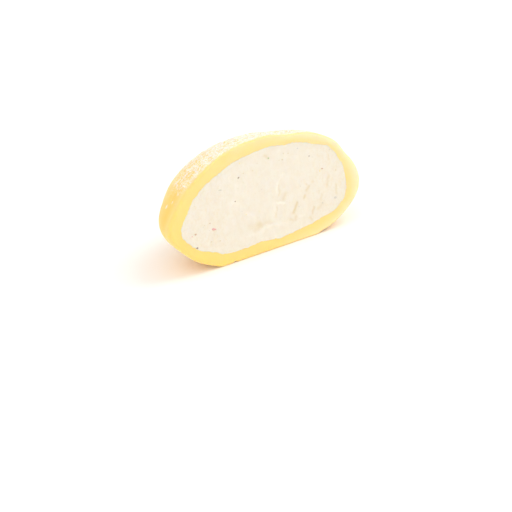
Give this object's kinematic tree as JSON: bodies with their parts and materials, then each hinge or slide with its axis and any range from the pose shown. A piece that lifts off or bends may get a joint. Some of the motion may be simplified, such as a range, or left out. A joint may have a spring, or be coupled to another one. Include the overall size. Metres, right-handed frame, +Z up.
{
  "type": "mochi rice cake half",
  "caption": "Half of a filled mochi rice cake, cut down the middle: a soft dough skin wrapped round a cream filling, settled flat on its underside.",
  "frame": {"origin": "middle of the half's bounding box, on the surface that the half stands on", "axes": "+X along the cut face, the half's longest side; +Y from the cut face to the back, its shortest side; +Z up, out of the settled underside"},
  "size_m": [0.0475, 0.0226, 0.0255],
  "materials": {
    "rice_dough": "soft yellow rice dough, slightly translucent, dusted with starch on the outside and smooth at the cut",
    "cream": "pale cream filling with a matt, faintly smeared cut face and a few tiny dark, green and pink specks"
  },
  "bodies": {
    "root": {"dough_skin": "rice_dough", "cream_filling": "cream"}
  },
  "joints": []
}
